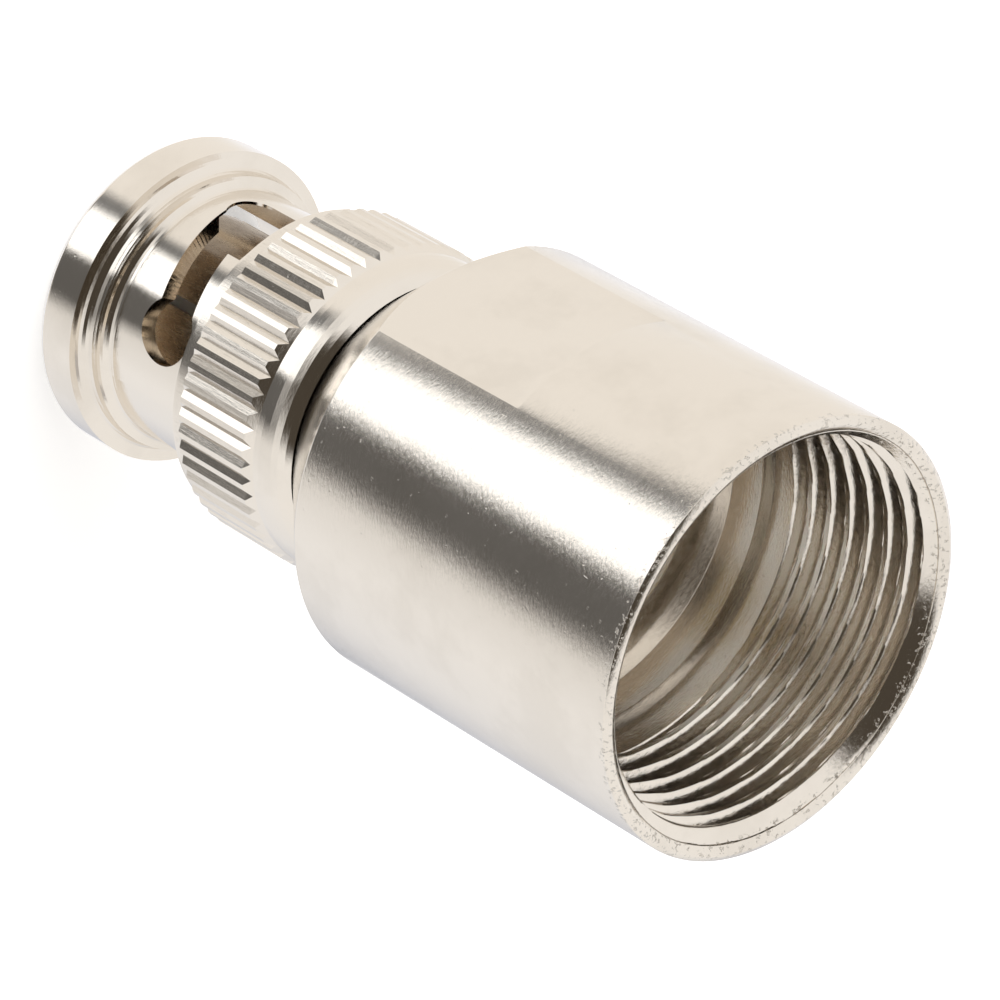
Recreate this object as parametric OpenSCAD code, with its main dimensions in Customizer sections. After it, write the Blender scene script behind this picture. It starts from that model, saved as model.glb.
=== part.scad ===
// Bayonet coaxial plug for a thick cable, standing on its nose.
// The axis is Z. The nose of the coupling ring is at z = 0 and the threaded mouth is on top.

/* [Coupling ring] */
// Length of the coupling ring
ring_len = 15.35; // [15:0.05:15.8]
// Bore that slides over the jack
ring_bore_d = 9.8; // [9.76:0.02:9.9]
// Depth of the chamfer at the mouth of that bore
bore_chamfer = 0.3; // [0.1:0.05:0.4]
// Wall of the neck between flange and knurl
neck_wall = 0.78; // [0.74:0.01:0.9]
// How far the nose flange stands out from the neck
flange_reach = 1.31; // [1.1:0.01:1.5]
// Width of the nose flange
flange_w = 1.9; // [1.6:0.05:2.2]
// Radius of the rounded front edge of the flange
flange_round = 0.2; // [0.1:0.05:0.4]
// Radial width of the flat rear face of the flange
flange_face = 0.3; // [0.2:0.05:0.4]
// How far the hub behind the flange stands out from the neck
hub_reach = 0.49; // [0.3:0.01:0.6]
// Width of the hub with its hollow front
hub_w = 0.8; // [0.6:0.05:1]
// Axial width of the hollow between flange and hub
hub_hollow = 0.65; // [0.4:0.05:0.8]
// Axial width of the hollow between hub and neck
neck_hollow = 0.45; // [0.3:0.05:0.6]

/* [Knurl] */
// Diameter over the knurl
knurl_d = 14.5; // [14.2:0.1:15]
// Number of knurl teeth
knurl_teeth = 58; // [40:1:72]
// Depth of the knurl grooves
knurl_depth = 0.18; // [0.12:0.02:0.3]
// How much of each pointed tooth is turned off to leave a narrow land
knurl_land = 0.09; // [0.05:0.01:0.15]
// Distance from the nose to the front rim of the knurl
rim_z = 8.55; // [8.2:0.05:9]
// How far the front rim lies below the knurl
rim_drop = 0.32; // [0.2:0.01:0.5]
// Length of the plain front rim
rim_w = 0.6; // [0.4:0.05:0.9]
// Axial width of the chamfer from rim to full knurl
rim_chamfer_w = 0.15; // [0.1:0.05:0.5]
// Axial width of the chamfer behind the knurl
knurl_chamfer_w = 0.45; // [0.3:0.05:0.6]
// How far the front of the smooth collar behind the knurl lies below it
collar_drop = 0.23; // [0.2:0.01:0.4]
// Length of that rounded collar
collar_len = 1.65; // [1.2:0.05:2]
// How far the collar falls to its rear edge
collar_fall = 0.62; // [0.4:0.02:0.8]

/* [Bayonet] */
// Diameter of the hole that each stud of the jack drops into
detent_d = 2.9; // [2.4:0.1:2.9]
// Distance from the nose to the middle of the detent holes
detent_z = 6; // [5.8:0.1:6.6]
// Direction of the first detent hole, seen from the mouth
detent_angle = -33; // [-180:1:180]
// How far the ramp passes behind the middle of the detent hole
detent_drop = 0.25; // [0.2:0.05:0.4]
// Width of the ramp slots
ramp_w = 2; // [1.9:0.05:2.05]
// Turn of the ring from entry to detent
ramp_sweep = 67.5; // [60:2.5:100]
// Axial rise of the ramps over that turn
ramp_rise = 1.2; // [1:0.05:2.4]
// Width of the entry grooves inside the bore
entry_w = 2.2; // [2.1:0.05:2.5]
// Depth of the entry grooves
entry_depth = 0.65; // [0.6:0.01:0.7]
// Width of the window that opens the wall behind each entry
window_w = 3.6; // [3:0.1:4]

/* [Body] */
// Gap between coupling ring and body shoulder
shoulder_gap = 0.1; // [0.05:0.05:0.3]
// Diameter of the front face of the body shoulder
shoulder_d = 12.8; // [12:0.1:13]
// Length of the conical shoulder
shoulder_len = 3.55; // [3:0.05:5]
// Diameter of the barrel
barrel_d = 18.7; // [18.4:0.1:19.4]
// Length of the round part of the barrel
barrel_len = 18; // [17.8:0.1:22]
// Radial size of the outer edge break at the mouth
rim_break = 0.3; // [0.1:0.05:0.35]
// Axial size of that edge break
rim_break_w = 0.2; // [0.1:0.05:0.4]
// Depth of each wrench flat below the barrel
flat_depth = 0.85; // [0.4:0.05:1]
// Length of full wall between the flats and the relief groove
flat_gap = 0.52; // [0.3:0.02:1]
// Radial step from the ring's bore down to the journal that carries the ring
journal_step = 0.55; // [0.5:0.01:0.6]
// Length of journal in front of the clip groove
journal_land = 0.33; // [0.25:0.01:0.5]
// Radial running clearance of the ring on the journal
ring_clearance = 0.05; // [0.02:0.01:0.1]
// Thickness of the inner lip of the coupling ring
lip_w = 1.05; // [0.9:0.05:1.3]

/* [Cable socket] */
// Wall between barrel and thread roots
barrel_wall = 0.607; // [0.56:0.001:0.7]
// Pitch of the thread
thread_pitch = 1.058; // [1:0.002:1.1]
// Number of thread turns
thread_turns = 7; // [5:1:7]
// Depth of the lead-in cone at the mouth
mouth_chamfer = 0.72; // [0.6:0.02:0.9]
// Width of the relief groove below the thread
relief_w = 1.3; // [1:0.1:1.6]
// Radial step from the thread crests to the plain bore below the relief groove
seat_step = 0.17; // [0.1:0.01:0.3]
// Length of that plain bore
seat_len = 1.6; // [1.2:0.1:2]
// Diameter of the bore that holds the rear insulator
core_d = 11.2; // [10.8:0.1:11.8]

/* [Contacts] */
// Wall of the slotted outer contact
contact_wall = 0.85; // [0.82:0.01:0.9]
// Wall of the tail of the outer contact
tail_wall = 0.3; // [0.26:0.01:0.32]
// Wall of the body between that tail and the clip groove
groove_wall = 0.35; // [0.32:0.01:0.4]
// Length of that tail
contact_tail_len = 5; // [4:0.1:5.5]
// Distance from the nose to the tips of the outer contact
contact_tip_z = 1.6; // [1:0.1:2]
// Number of slots in the outer contact
contact_slots = 4; // [4:1:6]
// Width of each slot
contact_slot_w = 0.5; // [0.3:0.05:0.6]
// Length of each slot
contact_slot_len = 6; // [4:0.1:7]
// Diameter of the center pin
pin_d = 1.35; // [1.32:0.01:1.37]
// Distance from the nose to the tip of the pin
pin_tip_z = 2.9; // [2.6:0.1:3.4]
// Length of the rounded tip of the pin
pin_tip_len = 0.45; // [0.3:0.05:0.6]
// Diameter of the shank of the pin
shank_d = 2.2; // [2:0.05:2.4]
// Diameter of the collar that holds the pin between the insulators
pin_collar_d = 3.2; // [3:0.1:3.6]
// Thickness of that collar
pin_collar_w = 1; // [0.8:0.1:1.4]
// Diameter of the solder cup
cup_d = 2.9; // [2.8:0.05:3]
// Bore of the solder cup
cup_bore_d = 2.3; // [2:0.05:2.4]
// Depth of the solder cup
cup_depth = 4; // [3:0.1:4.4]
// Length of cup that stands out of the rear insulator
cup_stand = 1.2; // [0.8:0.1:1.4]

/* [Insulators and seal] */
// Radial clearance of the insulator nose inside the contact fingers
nose_clearance = 0.1; // [0.05:0.01:0.15]
// Wall of the insulator nose around the pin
nose_wall = 0.65; // [0.6:0.01:0.75]
// Distance from the nose of the ring to the insulator nose
nose_tip_z = 2.2; // [2:0.1:2.6]
// Depth of the insulator nose
nose_depth = 5.8; // [5.2:0.1:6.2]
// Length of body bore that grips the front insulator
grip_len = 2; // [1.5:0.1:2.2]
// Length of the rear insulator
rear_insulator_len = 5; // [4.4:0.1:5.2]
// Thickness of the face gasket
gasket_w = 0.7; // [0.5:0.05:0.9]
// Radial gap between the face gasket and the ring's bore
gasket_gap = 0.1; // [0.05:0.01:0.2]
// Depth of the gasket's seat on the root of the outer contact
gasket_seat_depth = 0.2; // [0.18:0.01:0.25]

/* [Spring and clip] */
// Thickness of the retaining ring
clip_w = 0.5; // [0.4:0.02:0.6]
// Radial gap between the retaining ring and the ring's bore
clip_gap = 0.15; // [0.1:0.01:0.25]
// Depth of the clip groove
clip_groove_depth = 0.5; // [0.4:0.01:0.52]
// Opening angle of the retaining ring
clip_gap_angle = 36; // [20:2:60]
// Free height of the wave washer
wave_h = 0.7; // [0.5:0.05:0.8]
// Thickness of the wave washer
wave_t = 0.2; // [0.15:0.01:0.25]
// Number of waves
wave_count = 3; // [3:1:4]
// Thickness of the flat washer
washer_w = 0.25; // [0.2:0.01:0.3]
// Radial gap between both washers and the ring's bore
washer_play = 0.12; // [0.06:0.01:0.2]
// Radial clearance of both washers on the journal
washer_clearance = 0.05; // [0.03:0.01:0.1]
// Gap between flat washer and lip
washer_gap = 0.02; // [0.01:0.01:0.04]

/* [Hidden] */

nickel = "#d8d2c8";
nickel_satin = "#cfc8bb";
gold = "#d9b45a";
silver = "#c9c9c6";
ptfe = "#f2f0ea";
silicone = "#b5553f";
spring_steel = "#a9a9a4";

full_turn = 360;
right_angle = 90;
pair = 2;
round_fn = 96;
hole_fn = 48;
arc_steps = 6;
ramp_steps = 30;
wave_steps = 72;
slack = 1; // how far a cutter runs past the surface it opens

// Diameters from the ring's bore outwards
neck_d = ring_bore_d + pair * neck_wall;
hub_d = neck_d + pair * hub_reach;
flange_d = neck_d + pair * flange_reach;
rim_d = knurl_d - pair * rim_drop;
collar_d = knurl_d - pair * collar_drop;
entry_d = ring_bore_d + pair * entry_depth;

// Diameters from the ring's bore inwards
washer_d = ring_bore_d - pair * washer_play;
clip_d = ring_bore_d - pair * clip_gap;
gasket_d = ring_bore_d - pair * gasket_gap;
journal_d = ring_bore_d - pair * journal_step;
clip_groove_d = journal_d - pair * clip_groove_depth;
contact_tail_d = clip_groove_d - pair * groove_wall;
insulator_d = contact_tail_d - pair * tail_wall;
contact_d = insulator_d + pair * contact_wall;
gasket_seat_d = contact_d - pair * gasket_seat_depth;
nose_d = insulator_d - pair * nose_clearance;
nose_bore_d = nose_d - pair * nose_wall;

// Stack from the nose to the shoulder
knurl_end_z = ring_len - collar_len - knurl_chamfer_w;
lip_z = ring_len - lip_w;
flat_washer_z = lip_z - washer_gap - washer_w;
wave_z = flat_washer_z - wave_h;
clip_z = wave_z - clip_w;
journal_z = clip_z - journal_land;
gasket_z = journal_z - gasket_w;

// Stack from the shoulder to the mouth
shoulder_z = ring_len + shoulder_gap;
barrel_z = shoulder_z + shoulder_len;
mouth_z = barrel_z + barrel_len;
thread_end_z = mouth_z - mouth_chamfer - thread_turns * thread_pitch;
relief_z = thread_end_z - relief_w;
seat_z = relief_z - seat_len;
flats_end_z = relief_z - flat_gap;

// Stack of contacts and insulators
tail_end_z = journal_z + contact_tail_len;
grip_end_z = tail_end_z + grip_len;
nose_floor_z = nose_tip_z + nose_depth;
rear_insulator_end_z = grip_end_z + rear_insulator_len;
cup_end_z = rear_insulator_end_z + cup_stand;

// A 60 degree thread with its crest a quarter and its root an eighth of the pitch wide
thread_crest_w = thread_pitch / 4;
thread_root_w = thread_pitch / 8;
thread_flank_w = (thread_pitch - thread_crest_w - thread_root_w) / pair;
thread_depth = thread_flank_w / tan(30);
thread_root_d = barrel_d - pair * barrel_wall;
thread_crest_d = thread_root_d - pair * thread_depth;
seat_d = thread_crest_d - pair * seat_step;
flats_width = barrel_d - pair * flat_depth;

// Ramp of the bayonet: its middle line climbs with the angle
entry_angle = detent_angle - ramp_sweep;
ramp_end_z = detent_z + detent_drop;
entry_z = ramp_end_z - ramp_rise;

// Bow that starts along the axis at a radius and falls by a height over a length
function bow(from_r, from_z, fall, length) =
    let (sweep = pair * atan(fall / length), radius = length / sin(sweep))
    [for (i = [0 : arc_steps])
        let (a = sweep * i / arc_steps)
        [from_r - radius * (1 - cos(a)), from_z + radius * sin(a)]];

// Points of an arc about a centre, from one angle to another
function arc(centre, radius, from, to) =
    [for (i = [0 : arc_steps]) centre + radius * [cos(from + (to - from) * i / arc_steps),
                                                  sin(from + (to - from) * i / arc_steps)]];

// Hollow quarter of an ellipse that leaves a step square and meets a smaller cylinder along its side
function hollow(from_r, to_r, from_z, width) =
    [for (i = [0 : arc_steps])
        let (a = right_angle * i / arc_steps)
        [to_r + (from_r - to_r) * (1 - sin(a)), from_z + width * (1 - cos(a))]];

// Section of one thread turn, from its crest towards the mouth down to the next crest
function thread_turn(top) =
    [[thread_crest_d / 2, top],
     [thread_crest_d / 2, top - thread_crest_w],
     [thread_root_d / 2, top - thread_crest_w - thread_flank_w],
     [thread_root_d / 2, top - thread_crest_w - thread_flank_w - thread_root_w]];

// Cylinder standing on z between two heights
module rod(d, from, to) {
    translate([0, 0, from]) cylinder(h = to - from, d = d, $fn = round_fn);
}

// Ring with a round bore between two heights
module sleeve(d, bore, from, to) {
    difference() {
        rod(d, from, to);
        rod(bore, from - slack, to + slack);
    }
}

// Radial cylinder through a wall, at an angle and a height
module radial_hole(d, reach, angle, height) {
    rotate([0, 0, angle]) translate([0, 0, height]) rotate([0, right_angle, 0])
        cylinder(h = reach, d = d, $fn = hole_fn);
}

// Turned outline of the coupling ring
module ring_blank() {
    lip_bore = journal_d + pair * ring_clearance;
    rotate_extrude($fn = round_fn) polygon(concat(
        [[ring_bore_d / 2 + bore_chamfer, 0]],
        arc([flange_d / 2 - flange_round, flange_round], flange_round, -right_angle, 0),
        [[flange_d / 2, flange_w]],
        hollow(flange_d / 2 - flange_face, hub_d / 2, flange_w, hub_hollow),
        hollow(hub_d / 2, neck_d / 2, flange_w + hub_w, neck_hollow),
        [[neck_d / 2, rim_z],
         [rim_d / 2, rim_z],
         [rim_d / 2, rim_z + rim_w],
         [knurl_d / 2, rim_z + rim_w + rim_chamfer_w],
         [knurl_d / 2, knurl_end_z]],
        bow(collar_d / 2, ring_len - collar_len, collar_fall, collar_len),
        [[lip_bore / 2, ring_len],
         [lip_bore / 2, lip_z],
         [ring_bore_d / 2, lip_z],
         [ring_bore_d / 2, bore_chamfer]]));
}

// Everything outside the knurl teeth: a disc with a toothed hole
module knurl_cutter() {
    tip = knurl_d / 2 + knurl_land;
    root = knurl_d / 2 - knurl_depth;
    step = full_turn / knurl_teeth;
    translate([0, 0, rim_z]) linear_extrude(height = ring_len - rim_z) difference() {
        circle(d = knurl_d + pair * slack, $fn = round_fn);
        polygon([for (i = [0 : pair * knurl_teeth - 1])
            let (r = i % pair == 0 ? tip : root, a = i * step / pair)
            [r * cos(a), r * sin(a)]]);
    }
}

// Band that climbs round the axis with a rectangular section
module ramp_cutter() {
    inner = ring_bore_d / 2 - slack;
    outer = neck_d / 2 + slack / 2;
    corners = [[inner, -ramp_w / 2], [outer, -ramp_w / 2], [outer, ramp_w / 2], [inner, ramp_w / 2]];
    sides = len(corners);
    points = [for (i = [0 : ramp_steps], c = corners)
        let (a = entry_angle + ramp_sweep * i / ramp_steps, z = entry_z + ramp_rise * i / ramp_steps)
        [c[0] * cos(a), c[0] * sin(a), z + c[1]]];
    walls = [for (i = [0 : ramp_steps - 1], k = [0 : sides - 1])
        let (a = i * sides + k, b = i * sides + (k + 1) % sides)
        each [[a, b + sides, a + sides], [a, b, b + sides]]];
    last = ramp_steps * sides;
    ends = [[0, 2, 1], [0, 3, 2], [last, last + 1, last + 2], [last, last + 2, last + 3]];
    polyhedron(points = points, faces = concat(walls, ends));
}

// Entry groove, window, ramp slot and detent hole for one stud
module bayonet_cut() {
    intersection() {
        rotate([0, 0, entry_angle]) translate([0, -entry_w / 2, -slack])
            cube([ring_bore_d, entry_w, entry_z + slack + slack / 2]);
        rod(entry_d, -slack, rim_z);
    }
    ramp_cutter();
    rotate([0, 0, entry_angle]) translate([0, -entry_w / 2, entry_z])
        cube([neck_d / 2 + slack, window_w, ramp_end_z + ramp_w / 2 - entry_z]);
    radial_hole(entry_w, neck_d / 2 + slack, entry_angle, entry_z);
    radial_hole(detent_d, neck_d / 2 + slack, detent_angle, detent_z);
}

module coupling_ring() {
    color(nickel) difference() {
        ring_blank();
        knurl_cutter();
        for (side = [0, 1]) rotate([0, 0, side * full_turn / pair]) bayonet_cut();
    }
}

// Turned outline of the body: journal, shoulder, barrel and the stepped bore
module body_blank() {
    thread_top_z = mouth_z - mouth_chamfer;
    rotate_extrude($fn = round_fn) polygon(concat(
        [[contact_tail_d / 2, journal_z],
         [journal_d / 2, journal_z],
         [journal_d / 2, clip_z],
         [clip_groove_d / 2, clip_z],
         [clip_groove_d / 2, clip_z + clip_w],
         [journal_d / 2, clip_z + clip_w],
         [journal_d / 2, shoulder_z],
         [shoulder_d / 2, shoulder_z],
         [barrel_d / 2, barrel_z],
         [barrel_d / 2, mouth_z - rim_break_w],
         [barrel_d / 2 - rim_break, mouth_z],
         [thread_root_d / 2, mouth_z]],
        [for (turn = [0 : thread_turns - 1]) each thread_turn(thread_top_z - turn * thread_pitch)],
        [[thread_root_d / 2, relief_z],
         [seat_d / 2, relief_z],
         [seat_d / 2, seat_z],
         [core_d / 2, seat_z],
         [core_d / 2, grip_end_z],
         [insulator_d / 2, grip_end_z],
         [insulator_d / 2, tail_end_z],
         [contact_tail_d / 2, tail_end_z]]));
}

module connector_body() {
    color(nickel_satin) difference() {
        body_blank();
        for (side = [0, 1]) rotate([0, 0, side * full_turn / pair])
            translate([-barrel_d / 2, -flats_width / 2 - barrel_d, shoulder_z])
                cube([barrel_d, barrel_d, flats_end_z - shoulder_z]);
    }
}

module outer_contact() {
    color(gold) difference() {
        union() {
            rod(contact_d, contact_tip_z, gasket_z);
            rod(gasket_seat_d, gasket_z - slack, journal_z);
            rod(contact_tail_d, journal_z - slack, tail_end_z);
        }
        rod(insulator_d, contact_tip_z - slack, tail_end_z + slack);
        for (i = [0 : contact_slots - 1]) rotate([0, 0, (i + 1 / pair) * full_turn / contact_slots])
            translate([0, -contact_slot_w / 2, contact_tip_z - slack])
                cube([contact_d, contact_slot_w, contact_slot_len + slack]);
    }
}

module center_pin() {
    tip_r = pin_d / 2;
    color(gold) difference() {
        rotate_extrude($fn = hole_fn) polygon(concat(
            [for (i = [0 : arc_steps])
                let (a = right_angle * i / arc_steps)
                [tip_r * sin(a), pin_tip_z + pin_tip_len * (1 - cos(a))]],
            [[tip_r, nose_floor_z],
             [shank_d / 2, nose_floor_z],
             [shank_d / 2, grip_end_z],
             [pin_collar_d / 2, grip_end_z],
             [pin_collar_d / 2, grip_end_z + pin_collar_w],
             [cup_d / 2, grip_end_z + pin_collar_w],
             [cup_d / 2, cup_end_z],
             [0, cup_end_z]]));
        rod(cup_bore_d, cup_end_z - cup_depth, cup_end_z + slack);
    }
}

module front_insulator() {
    color(ptfe) difference() {
        union() {
            rod(nose_d, nose_tip_z, nose_floor_z);
            rod(insulator_d, nose_floor_z, grip_end_z);
        }
        rod(nose_bore_d, nose_tip_z - slack, nose_floor_z);
        rod(shank_d, nose_floor_z - slack, grip_end_z + slack);
    }
}

module rear_insulator() {
    color(ptfe) difference() {
        rod(core_d, grip_end_z, rear_insulator_end_z);
        rod(cup_d, grip_end_z - slack, rear_insulator_end_z + slack);
        rod(pin_collar_d, grip_end_z - slack, grip_end_z + pin_collar_w);
    }
}

module face_gasket() {
    color(silicone) sleeve(gasket_d, gasket_seat_d, gasket_z, journal_z);
}

module retaining_ring() {
    reach = clip_d;
    half = clip_gap_angle / pair;
    color(spring_steel) difference() {
        sleeve(clip_d, clip_groove_d, clip_z, clip_z + clip_w);
        translate([0, 0, clip_z - slack]) linear_extrude(height = clip_w + pair * slack)
            polygon([[0, 0], [reach * cos(half), -reach * sin(half)], [reach * cos(half), reach * sin(half)]]);
    }
}

// Flat ring whose height rises and falls round the axis
module wave_washer() {
    inner = journal_d / 2 + washer_clearance;
    outer = washer_d / 2;
    swing = (wave_h - wave_t) / 2;
    middle = wave_z + wave_h / 2;
    corners = [[inner, -wave_t / 2], [outer, -wave_t / 2], [outer, wave_t / 2], [inner, wave_t / 2]];
    sides = len(corners);
    points = [for (i = [0 : wave_steps - 1], c = corners)
        let (a = full_turn * i / wave_steps)
        [c[0] * cos(a), c[0] * sin(a), middle + swing * cos(wave_count * a) + c[1]]];
    faces = [for (i = [0 : wave_steps - 1], k = [0 : sides - 1])
        let (next = (i + 1) % wave_steps, l = (k + 1) % sides)
        each [[i * sides + k, next * sides + l, next * sides + k],
              [i * sides + k, i * sides + l, next * sides + l]]];
    color(spring_steel) polyhedron(points = points, faces = faces);
}

module flat_washer() {
    color(spring_steel)
        sleeve(washer_d, journal_d + pair * washer_clearance, flat_washer_z, flat_washer_z + washer_w);
}

connector_body();
coupling_ring();
outer_contact();
center_pin();
front_insulator();
rear_insulator();
face_gasket();
retaining_ring();
wave_washer();
flat_washer();
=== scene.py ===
import bpy
import math
import numpy as np
from mathutils import Matrix, Vector


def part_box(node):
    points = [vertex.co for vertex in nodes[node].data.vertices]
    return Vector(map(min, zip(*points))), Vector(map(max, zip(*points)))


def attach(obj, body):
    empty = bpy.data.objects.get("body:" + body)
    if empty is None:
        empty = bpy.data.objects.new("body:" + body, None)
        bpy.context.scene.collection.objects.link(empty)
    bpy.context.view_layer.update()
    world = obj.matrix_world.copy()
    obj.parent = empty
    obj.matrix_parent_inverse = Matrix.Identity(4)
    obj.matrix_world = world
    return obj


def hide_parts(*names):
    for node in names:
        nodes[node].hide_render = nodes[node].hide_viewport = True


mm = 0.001
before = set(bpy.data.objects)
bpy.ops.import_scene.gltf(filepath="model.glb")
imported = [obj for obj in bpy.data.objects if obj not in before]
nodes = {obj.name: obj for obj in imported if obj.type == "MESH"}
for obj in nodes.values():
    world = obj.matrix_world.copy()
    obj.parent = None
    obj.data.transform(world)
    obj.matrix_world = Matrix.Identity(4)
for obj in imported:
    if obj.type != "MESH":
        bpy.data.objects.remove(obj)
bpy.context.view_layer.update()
print("frame loaded:", len(nodes), "solids")


def smoothStep(low, high, value):
    # 0 below low, 1 above high, and 3t^2 - 2t^3 between them
    t = np.clip((value - low) / (high - low), 0, 1)
    return t * t * (3 - 2 * t)


def meshFromGrid(name, x, y, z, body, sharpAngle=32):
    # A grid of points closed both ways: rows run round the section, columns round the axis
    rows, columns = x.shape
    points = np.stack([x, y, z], axis=-1).reshape(-1, 3) * mm
    i, j = np.meshgrid(np.arange(rows), np.arange(columns), indexing="ij")
    nextI, nextJ = (i + 1) % rows, (j + 1) % columns
    here, beyond = i * columns, nextI * columns
    faces = np.stack([here + j, here + nextJ, beyond + nextJ, beyond + j], axis=-1)
    mesh = bpy.data.meshes.new(name)
    mesh.from_pydata(points.tolist(), [], faces.reshape(-1, 4).tolist())
    mesh.polygons.foreach_set("use_smooth", np.ones(len(mesh.polygons), bool))
    mesh.set_sharp_from_angle(angle=math.radians(sharpAngle))
    piece = bpy.data.objects.new(name, mesh)
    bpy.context.scene.collection.objects.link(piece)
    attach(piece, body)
    return piece


def roundCorners(radius, height, size, steps):
    # Every corner of a closed section becomes a quadratic Bezier curve between two points
    # that lie the given size back along its two sides; size is one number for each corner
    sideShare = 0.45   # no curve takes more of a side than this
    shortest = 1e-9    # keeps a side of no length from dividing by zero
    before = np.stack([np.roll(radius, 1, 0) - radius, np.roll(height, 1, 0) - height])
    after = np.stack([np.roll(radius, -1, 0) - radius, np.roll(height, -1, 0) - height])
    reach = np.asarray(size, float)[:, None]
    lengthBefore = np.maximum(np.hypot(*before), shortest)
    lengthAfter = np.maximum(np.hypot(*after), shortest)
    backBefore = np.minimum(reach, sideShare * lengthBefore) / lengthBefore
    backAfter = np.minimum(reach, sideShare * lengthAfter) / lengthAfter
    t = np.linspace(0, 1, steps)[:, None, None]
    corner = np.stack([radius, height])
    start, end = corner + before * backBefore, corner + after * backAfter
    curve = (1 - t)[:, None] ** 2 * start + 2 * (t * (1 - t))[:, None] * corner + t[:, None] ** 2 * end
    curve = np.moveaxis(curve, 0, 2)  # radius or height, corner, step, column
    return curve.reshape(2, -1, radius.shape[1])


cameraSetup = {
    "aim": (0.54, 0.47, 21.26),   # mm, the point in the middle of the view
    "distance": 239.9,            # mm
    "azimuth": -48.85,            # degrees round the part, from +X
    "elevation": 39.26,
    "roll": -119.97,              # the camera is turned so that the axis runs down to the right
    "lens": 216.0,                # mm
    "clip": (0.01, 5.0),          # m
}


def towards(azimuth, elevation):
    # The direction of length 1 at two angles in degrees: round from +X, and up from level
    a, e = math.radians(azimuth), math.radians(elevation)
    return (math.cos(e) * math.cos(a), math.cos(e) * math.sin(a), math.sin(e))


def makeCamera(setup):
    back = Vector(towards(setup["azimuth"], setup["elevation"]))
    data = bpy.data.cameras.new("camera")
    data.lens = setup["lens"]
    data.clip_start, data.clip_end = setup["clip"]
    camera = bpy.data.objects.new("camera", data)
    bpy.context.scene.collection.objects.link(camera)
    roll = Matrix.Rotation(math.radians(-setup["roll"]), 4, "Z")
    place = Matrix.Translation((Vector(setup["aim"]) + back * setup["distance"]) * mm)
    turn = back.to_track_quat("Z", "Y").to_matrix().to_4x4() @ roll
    camera.matrix_world = place @ turn
    bpy.context.scene.camera = camera


makeCamera(cameraSetup)
print("camera made")


class Nodes:
    # Short calls that add a node and join its sockets
    def __init__(self, tree):
        self.tree = tree
        tree.nodes.clear()

    def put(self, socket, value):
        if isinstance(value, bpy.types.NodeSocket):
            self.tree.links.new(value, socket)
        elif value is not None:
            socket.default_value = value

    def add(self, kind, inputs=None, **settings):
        node = self.tree.nodes.new(kind)
        for key, value in settings.items():
            setattr(node, key, value)
        for key, value in (inputs or {}).items():
            self.put(node.inputs[key], value)
        return node

    def math(self, operation, first, second=None, third=None):
        node = self.add("ShaderNodeMath", {0: first}, operation=operation)
        self.put(node.inputs[1], second)
        self.put(node.inputs[2], third)
        return node.outputs[0]

    def ramp(self, factor, stops):
        node = self.add("ShaderNodeValToRGB", {"Fac": factor})
        node.color_ramp.interpolation = "LINEAR"
        elements = node.color_ramp.elements
        while len(elements) < len(stops):
            elements.new(0.5)
        for element, (place, colour) in zip(elements, stops):
            element.position = place
            element.color = (*colour, 1)
        return node.outputs["Color"]

    def mapRange(self, value, low, high, toLow=0.0, toHigh=1.0):
        inputs = {"Value": value, "From Min": low, "From Max": high, "To Min": toLow, "To Max": toHigh}
        return self.add("ShaderNodeMapRange", inputs, interpolation_type="SMOOTHSTEP").outputs["Result"]

    def noise(self, vector, scale, detail, roughness):
        inputs = {"Vector": vector, "Scale": scale, "Detail": detail, "Roughness": roughness}
        return self.add("ShaderNodeTexNoise", inputs, noise_dimensions="3D").outputs["Fac"]

    def blend(self, factor, first, second):
        # A Mix node set to colours takes them at sockets 6 and 7, and gives the mixed one at output 2
        ends = [(*end, 1) if isinstance(end, tuple) else end for end in (first, second)]
        return self.add("ShaderNodeMix", {0: factor, 6: ends[0], 7: ends[1]}, data_type="RGBA").outputs[2]

    def position(self):
        return self.add("ShaderNodeTexCoord").outputs["Object"]


def grey(level):
    return (level, level, level)


# What polished metal sees around the part, as (azimuth in degrees, colour) stops.
# Low directions are seen by upright walls, high ones by the mouth and the rims.
studioSetup = {
    "lowBands": [
        (-180, (0.96, 0.92, 0.87)), (-100, (0.97, 0.93, 0.88)), (-90, (0.96, 0.92, 0.87)), (-82, grey(0.2)),
        (-76, grey(0.24)), (-69, grey(1.6)), (-41, grey(1.6)), (-37, (0.14, 0.135, 0.13)),
        (-8, (0.13, 0.125, 0.12)), (4, (0.84, 0.82, 0.8)), (36, (0.97, 0.96, 0.96)), (75, (0.9, 0.9, 0.92)),
        (118, (0.6, 0.61, 0.66)), (126, (1.02, 1.02, 1.05)), (155, (1.02, 1.01, 1.03)),
        (170, (0.96, 0.93, 0.89)), (180, (0.96, 0.92, 0.87)),
    ],
    "highColour": (0.97, 0.95, 0.93),
    "darkCentre": (-35.0, 42.0),     # azimuth and elevation of the dark side of the room, behind the camera
    "darkRadius": (33.0, 46.0),      # degrees, from fully dark to clear
    "darkColour": (0.07, 0.058, 0.045),
    "blend": (-20.0, 15.0),          # elevations over which the low bands give way
}


floorSetup = {"halfWidth": 1.5, "paint": grey(0.86), "glow": 0.5}   # m; the glow is for the camera alone
lampSetup = {"width": 0.5, "watts": 1.6, "place": (-0.15, -0.25, 0.55)}   # m


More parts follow.
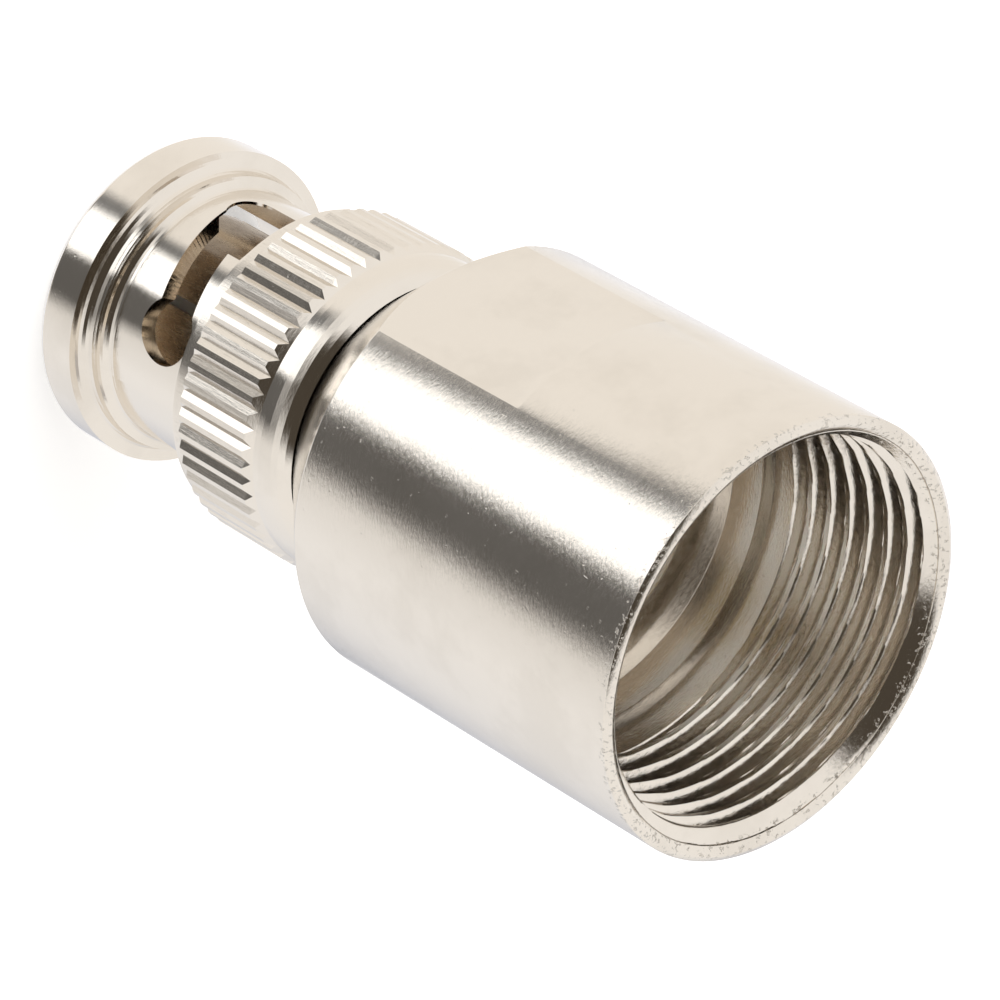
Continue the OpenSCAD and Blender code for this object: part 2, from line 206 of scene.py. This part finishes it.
def makeWorld(setup):
    world = bpy.data.worlds.new("studio")
    bpy.context.scene.world = world
    world.use_nodes = True
    n = Nodes(world.node_tree)
    direction = n.add("ShaderNodeTexCoord").outputs["Generated"]
    split = n.add("ShaderNodeSeparateXYZ", {0: direction})
    azimuth = n.math("ARCTAN2", split.outputs["Y"], split.outputs["X"])
    turn = n.math("MULTIPLY_ADD", azimuth, 1 / (2 * math.pi), 0.5)
    bands = n.ramp(turn, [(0.5 + angle / 360, colour) for angle, colour in setup["lowBands"]])
    centre = towards(*setup["darkCentre"])
    near = n.add("ShaderNodeVectorMath", {0: direction, 1: centre}, operation="DOT_PRODUCT")
    inner, outer = (math.cos(math.radians(v)) for v in setup["darkRadius"])
    dark = n.mapRange(near.outputs["Value"], outer, inner)
    high = n.blend(dark, setup["highColour"], setup["darkColour"])
    low, top = (math.sin(math.radians(v)) for v in setup["blend"])
    colour = n.blend(n.mapRange(split.outputs["Z"], low, top), bands, high)
    back = n.add("ShaderNodeBackground", {"Color": colour, "Strength": 1.0})
    n.add("ShaderNodeOutputWorld", {"Surface": back.outputs[0]})


def makeFloor(setup):
    # A pale floor: white to the camera, dimmed where the part shades it, and out of the metal's sight
    size = setup["halfWidth"]
    mesh = bpy.data.meshes.new("floor")
    corners = [(-size, -size, 0), (size, -size, 0), (size, size, 0), (-size, size, 0)]
    mesh.from_pydata(corners, [], [(0, 1, 2, 3)])
    floor = bpy.data.objects.new("floor", mesh)
    bpy.context.scene.collection.objects.link(floor)
    floor.visible_glossy = False
    material = bpy.data.materials.new("floorPaint")
    material.use_nodes = True
    n = Nodes(material.node_tree)
    seen = n.add("ShaderNodeLightPath").outputs["Is Camera Ray"]
    diffuse = n.add("ShaderNodeBsdfDiffuse", {"Color": (*setup["paint"], 1)})
    strength = n.math("MULTIPLY", seen, setup["glow"])
    glow = n.add("ShaderNodeEmission", {"Color": (1, 1, 1, 1), "Strength": strength})
    both = n.add("ShaderNodeAddShader", {0: diffuse.outputs[0], 1: glow.outputs[0]})
    n.add("ShaderNodeOutputMaterial", {"Surface": both.outputs[0]})
    mesh.materials.append(material)


def makeLamp(setup):
    # One wide soft lamp overhead: it shades the floor and lights the plastics
    data = bpy.data.lights.new("softLamp", "AREA")
    data.shape = "DISK"
    data.size = setup["width"]
    data.energy = setup["watts"]
    lamp = bpy.data.objects.new("softLamp", data)
    bpy.context.scene.collection.objects.link(lamp)
    spot = Vector(setup["place"])
    lamp.matrix_world = Matrix.Translation(spot) @ spot.to_track_quat("Z", "Y").to_matrix().to_4x4()
    lamp.visible_glossy = False


makeWorld(studioSetup)
makeFloor(floorSetup)
makeLamp(lampSetup)
bpy.context.scene.view_settings.view_transform = "Standard"
print("studio made")


# The body in mm: journal, shoulder, flatted barrel and threaded mouth
bodySizes = {
    "journalRadius": 4.35, "clipGrooveRadius": 3.85,
    "clipGroove": (0.33, 0.83),                       # start and end, from the journal's front
    "tailBoreRadius": 3.5, "tailBoreDepth": 5.0, "gripRadius": 3.2, "gripDepth": 7.0, "coreRadius": 5.6,
    "shoulderRadius": 6.4, "shoulderLength": 3.55, "barrelLength": 18.0,
    "flatDistance": 8.5, "flatLength": 8.05,
    "flatAzimuths": (-90.0, 90.0), "flatStep": 0.02,  # degrees; the length of the step that ends a flat
    "rimBreak": (0.3, 0.2), "rimStep": (8.69, 0.25),  # inward and down; radius and depth
    "crestRadius": 8.17, "coneDepth": 0.85, "pitch": 1.058, "threadDepth": 0.56, "threadEnd": 8.13,
    "threadFade": (0.05, 0.3),                        # before the thread's end: gone, and still full
    "rootCurve": (0.2, 0.86), "flank": (0.23, 0.83),  # shares of the way from crest to root
    "curveShare": 0.35, "flankShare": 0.65,
    "relief": (8.74, 1.3), "seat": (8.0, 1.6),        # radius and length
    "edge": 0.05, "cornerSteps": 3, "columns": 320, "threadRows": 176,
}


def threadSection(phase, s):
    # One turn of the thread: 0 on the rounded crest and 1 in the rounded root. It is a smooth step
    # from crest to root plus a straight one, each times its share.
    away = np.abs(phase - np.round(phase)) * 2
    start, end = s["flank"]
    straight = np.clip((away - start) / (end - start), 0, 1)
    return smoothStep(*s["rootCurve"], away) * s["curveShare"] + straight * s["flankShare"]


def threadWall(depth, azimuth, s):
    # A helix: the crest's radius plus the thread's depth times its section, at a phase of the depth
    # over the pitch plus the share of a turn. It fades to the relief, and stays outside the entry cone.
    reliefRadius = s["relief"][0]
    stepRadius, stepDepth = s["rimStep"]
    slope = (stepRadius - s["crestRadius"]) / (s["coneDepth"] - stepDepth)
    cone = s["crestRadius"] + (s["coneDepth"] - depth) * slope
    phase = depth / s["pitch"] + azimuth / (2 * math.pi)
    thread = s["crestRadius"] + s["threadDepth"] * threadSection(phase, s)
    gone, full = (s["threadEnd"] - back for back in s["threadFade"])
    thread = reliefRadius + (thread - reliefRadius) * smoothStep(gone, full, depth)
    return np.maximum(thread, cone)


def makeBody(s):
    # A closed section of radii and heights, turned about the axis. Its radius is the same all round
    # but at the flats, where it is the flat's distance over the cosine of the angle from its middle.
    low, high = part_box("connector_body")
    barrelRadius = high.x / mm
    journalZ, mouthZ = low.z / mm, high.z / mm
    barrelZ = mouthZ - s["barrelLength"]
    shoulderZ = barrelZ - s["shoulderLength"]
    halfFlat = math.degrees(math.acos(s["flatDistance"] / barrelRadius))
    edges = [centre + side * halfFlat for centre in s["flatAzimuths"] for side in (-1, 1)]
    azimuth = np.radians(np.union1d(np.arange(s["columns"]) * 360 / s["columns"] - 180, edges))
    facing = 0.5   # cosine below which a wall is too far round to meet a flat
    flat = np.full(azimuth.shape, barrelRadius)
    for centre in np.radians(s["flatAzimuths"]):
        across = np.cos(azimuth - centre)
        cutBack = np.minimum(flat, s["flatDistance"] / np.maximum(across, facing))
        flat = np.where(across > facing, cutBack, flat)
    one = np.ones_like(azimuth)
    slope = (barrelRadius - s["shoulderRadius"]) / s["shoulderLength"]
    coneTop = shoulderZ + (flat - s["shoulderRadius"]) / slope
    flatEnd = barrelZ + s["flatLength"]
    journal, groove, tailBore = s["journalRadius"], s["clipGrooveRadius"], s["tailBoreRadius"]
    grooveStart, grooveEnd = (journalZ + along for along in s["clipGroove"])
    rimIn, rimDown = s["rimBreak"]
    stepRadius, stepDepth = s["rimStep"]
    outer = [
        (tailBore, journalZ), (journal, journalZ),
        (journal, grooveStart), (groove, grooveStart), (groove, grooveEnd), (journal, grooveEnd),
        (journal, shoulderZ), (s["shoulderRadius"], shoulderZ), (flat, coneTop),
        (flat, flatEnd), (barrelRadius, flatEnd + s["flatStep"]), (barrelRadius, mouthZ - rimDown),
        (barrelRadius - rimIn, mouthZ), (stepRadius, mouthZ - stepDepth),
    ]
    depth = np.linspace(stepDepth, s["threadEnd"], s["threadRows"])[1:-1, None] * one
    thread = threadWall(depth, azimuth, s)
    reliefRadius, reliefLength = s["relief"]
    seatRadius, seatLength = s["seat"]
    threadZ = mouthZ - s["threadEnd"]
    reliefZ = threadZ - reliefLength
    seatZ = reliefZ - seatLength
    gripZ, tailBoreZ = journalZ + s["gripDepth"], journalZ + s["tailBoreDepth"]
    inner = [
        (reliefRadius, threadZ), (reliefRadius, reliefZ), (seatRadius, reliefZ), (seatRadius, seatZ),
        (s["coreRadius"], seatZ), (s["coreRadius"], gripZ), (s["gripRadius"], gripZ),
        (s["gripRadius"], tailBoreZ), (tailBore, tailBoreZ),
    ]
    corners = outer + inner
    radius = np.array([r * one for r, z in corners])
    height = np.array([z * one for r, z in corners])
    size = np.full(len(corners), s["edge"])
    roundedRadius, roundedHeight = roundCorners(radius, height, size, s["cornerSteps"])
    cut = s["cornerSteps"] * len(outer)
    r = np.vstack([roundedRadius[:cut], thread, roundedRadius[cut:]])
    z = np.vstack([roundedHeight[:cut], mouthZ - depth, roundedHeight[cut:]])
    x, y = r * np.cos(azimuth), r * np.sin(azimuth)
    piece = meshFromGrid("barrelShell", x, y, z, "plug_body")
    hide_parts("connector_body")
    return piece


barrelShell = makeBody(bodySizes)
print("body made:", len(barrelShell.data.polygons), "faces")


# A noise is given as scale, detail and roughness, and a level as the values where it starts and is full.
# The bump is the relief in mm that a pattern height of 1 gives, and the depth how far light enters, in mm.
nickelLook = {
    "colour": (0.85, 0.80, 0.73), "dull": (0.76, 0.71, 0.64),   # clean plating and its faint blotches
    "around": (3600, 3, 0.55), "aroundStretch": (1, 1, 3.2),    # streaks about 0.3 mm round by 0.1 mm along
    "fine": (12000, 2, 0.6), "fineStretch": (1, 1, 6), "fineHeight": 0.22,
    "blotch": (260, 4, 0.6), "blotchLevel": (0.42, 0.68), "blotchTint": 0.55,
    "pit": (4200, 1, 0.3), "pitLevel": (0.74, 0.79), "pitHeight": -0.4, "pitRough": 0.05,
    "scratch": (9000, 3, 0.7), "scratchStretch": (1, 1, 0.09),  # drawn out along the axis, on the knurl
    "scratchLevel": (0.5, 0.75), "scratchHeight": 1.5, "scratchRough": 0.1,
    "fleck": (4200, 3, 0.7), "fleckLevel": (0.58, 0.64), "fleckHeight": -3.0, "fleckTint": 2.2,
    "spread": (0.75, 1.3),                                      # shares of the roughness, from low to high
}
springLook = {
    "grain": (5200, 3, 0.6), "grainStretch": (1, 1, 0.25),
    "cloud": (700, 4, 0.6), "cloudLevel": (0.35, 0.68),
    "nick": (3000, 1, 0.3), "nickLevel": (0.7, 0.78), "nickHeight": -1.0,
    "bump": 0.0012, "spread": (0.75, 1.3),
}
mouldedLook = {
    "rings": (2600, 2, 0.5), "ringStretch": (0.15, 0.15, 3),
    "mottle": (900, 4, 0.55), "mottleLevel": (0.35, 0.7), "mottleHeight": 0.5,
    "bump": 0.006, "spread": (0.85, 1.15), "light": 0.1,
}


def newFinish(name):
    material = bpy.data.materials.new(name)
    material.use_nodes = True
    return material, Nodes(material.node_tree)


def wear(piece, material):
    piece.data.materials.clear()
    piece.data.materials.append(material)


def stretched(n, factors):
    # Object coordinates times a factor for each axis: noise on them is short along an axis with a
    # large factor, and drawn out along one with a small factor
    scaled = n.add("ShaderNodeVectorMath", {0: n.position(), 1: factors}, operation="MULTIPLY")
    return scaled.outputs["Vector"]


def heightMask(n, low, high, soft):
    # 1 between two heights in mm, falling to 0 over the soft width
    z = n.add("ShaderNodeSeparateXYZ", {0: n.position()}).outputs["Z"]
    rise = n.mapRange(z, (low - soft) * mm, low * mm)
    fall = n.mapRange(z, high * mm, (high + soft) * mm, 1.0, 0.0)
    return n.math("MULTIPLY", rise, fall)


def spreadRough(n, pattern, roughness, spread):
    # The roughness times a share that follows the pattern over its middle values
    low, high = 0.3, 0.7
    return n.mapRange(pattern, low, high, roughness * spread[0], roughness * spread[1])


def coat(n, colour, rough, height, bump, others):
    # The last nodes of every finish: bump from the height, the shader with its other sockets, the output
    relief = n.add("ShaderNodeBump", {"Height": height, "Strength": 1.0, "Distance": bump * mm})
    inputs = {"Base Color": colour, "Roughness": rough, "Normal": relief.outputs[0], **others}
    shader = n.add("ShaderNodeBsdfPrincipled", inputs)
    n.add("ShaderNodeOutputMaterial", {"Surface": shader.outputs[0]})


def nickelFinish(look, s, scratched=None, burred=None):
    # Plated metal: turning streaks, fine grain, pits and blotches, axial scratches where a tool ran,
    # and flecks on a burr. The last two are given as low, high and soft for heightMask.
    material, n = newFinish(look["name"])
    around = n.noise(stretched(n, s["aroundStretch"]), *s["around"])
    fine = n.noise(stretched(n, s["fineStretch"]), *s["fine"])
    blotch = n.mapRange(n.noise(n.position(), *s["blotch"]), *s["blotchLevel"])
    pits = n.mapRange(n.noise(n.position(), *s["pit"]), *s["pitLevel"])
    height = n.math("MULTIPLY_ADD", fine, s["fineHeight"], around)
    height = n.math("MULTIPLY_ADD", pits, s["pitHeight"], height)
    rough = spreadRough(n, around, look["roughness"], s["spread"])
    rough = n.math("MULTIPLY_ADD", pits, s["pitRough"], rough)
    tint = n.math("MULTIPLY", blotch, s["blotchTint"])
    if scratched:
        mask = heightMask(n, *scratched)
        scratch = n.noise(stretched(n, s["scratchStretch"]), *s["scratch"])
        cut = n.math("MULTIPLY", mask, n.math("MULTIPLY", scratch, s["scratchHeight"]))
        height = n.math("ADD", height, cut)
        rough = n.math("MULTIPLY_ADD", mask, s["scratchRough"], rough)
        worn = n.math("MULTIPLY", mask, n.mapRange(scratch, *s["scratchLevel"]))
        tint = n.math("MAXIMUM", tint, worn)
    if burred:
        fleck = n.mapRange(n.noise(n.position(), *s["fleck"]), *s["fleckLevel"])
        fleck = n.math("MULTIPLY", fleck, heightMask(n, *burred))
        height = n.math("MULTIPLY_ADD", fleck, s["fleckHeight"], height)
        tint = n.math("MAXIMUM", tint, n.math("MULTIPLY", fleck, s["fleckTint"]))
    coat(n, n.blend(tint, s["colour"], s["dull"]), rough, height, look["bump"], {"Metallic": 1.0})
    return material


def springFinish(look, s):
    # Rolled or formed contact metal: drawn grain, tarnish clouds and small nicks
    material, n = newFinish(look["name"])
    grain = n.noise(stretched(n, s["grainStretch"]), *s["grain"])
    cloud = n.mapRange(n.noise(n.position(), *s["cloud"]), *s["cloudLevel"])
    nick = n.mapRange(n.noise(n.position(), *s["nick"]), *s["nickLevel"])
    height = n.math("MULTIPLY_ADD", nick, s["nickHeight"], grain)
    rough = spreadRough(n, grain, look["roughness"], s["spread"])
    coat(n, n.blend(cloud, look["colour"], look["stain"]), rough, height, s["bump"], {"Metallic": 1.0})
    return material


def mouldedFinish(look, s):
    # Turned plastic or rubber: faint tool rings, soft mottling and a little light passing in
    material, n = newFinish(look["name"])
    rings = n.noise(stretched(n, s["ringStretch"]), *s["rings"])
    mottle = n.mapRange(n.noise(n.position(), *s["mottle"]), *s["mottleLevel"])
    height = n.math("MULTIPLY_ADD", mottle, s["mottleHeight"], rings)
    rough = spreadRough(n, rings, look["roughness"], s["spread"])
    light = {"Subsurface Weight": s["light"], "Subsurface Scale": look["depth"] * mm}
    coat(n, n.blend(mottle, look["colour"], look["shadow"]), rough, height, s["bump"], light)
    return material


barrelLook = {"name": "satinNickel", "roughness": 0.13, "bump": 0.0075,
              "burr": (-0.35, 1.0), "burrSoft": 0.2}                # mm from the mouth's rim
ringLook = {"name": "brightNickel", "roughness": 0.1, "bump": 0.0028,
            "knurl": (8.7, 13.2), "knurlSoft": 0.15}                # mm from the ring's nose
contactLook = {"name": "darkContact", "colour": (0.54, 0.45, 0.34), "stain": (0.4, 0.32, 0.24),
               "roughness": 0.24}
pinLook = {"name": "paleGold", "colour": (0.78, 0.64, 0.42), "stain": (0.6, 0.47, 0.3), "roughness": 0.2}
steelLook = {"name": "springSteel", "colour": (0.6, 0.58, 0.55), "stain": (0.42, 0.4, 0.37),
             "roughness": 0.25}
plasticLook = {"name": "whitePlastic", "colour": (0.86, 0.86, 0.84), "shadow": (0.79, 0.79, 0.76),
               "roughness": 0.42, "depth": 0.6}
gasketLook = {"name": "gasketRubber", "colour": (0.36, 0.07, 0.05), "shadow": (0.27, 0.05, 0.04),
              "roughness": 0.55, "depth": 0.2}


def dress():
    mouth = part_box("connector_body")[1].z / mm
    burred = (*(mouth + along for along in barrelLook["burr"]), barrelLook["burrSoft"])
    wear(barrelShell, nickelFinish(barrelLook, nickelLook, burred=burred))
    scratched = (*ringLook["knurl"], ringLook["knurlSoft"])
    wear(nodes["coupling_ring"], nickelFinish(ringLook, nickelLook, scratched=scratched))
    wear(nodes["outer_contact"], springFinish(contactLook, springLook))
    wear(nodes["center_pin"], springFinish(pinLook, springLook))
    steel = springFinish(steelLook, springLook)
    for name in ("retaining_ring", "wave_washer", "flat_washer"):
        wear(nodes[name], steel)
    plastic = mouldedFinish(plasticLook, mouldedLook)
    for name in ("front_insulator", "rear_insulator"):
        wear(nodes[name], plastic)
    wear(nodes["face_gasket"], mouldedFinish(gasketLook, mouldedLook))


dress()
print("finishes made")
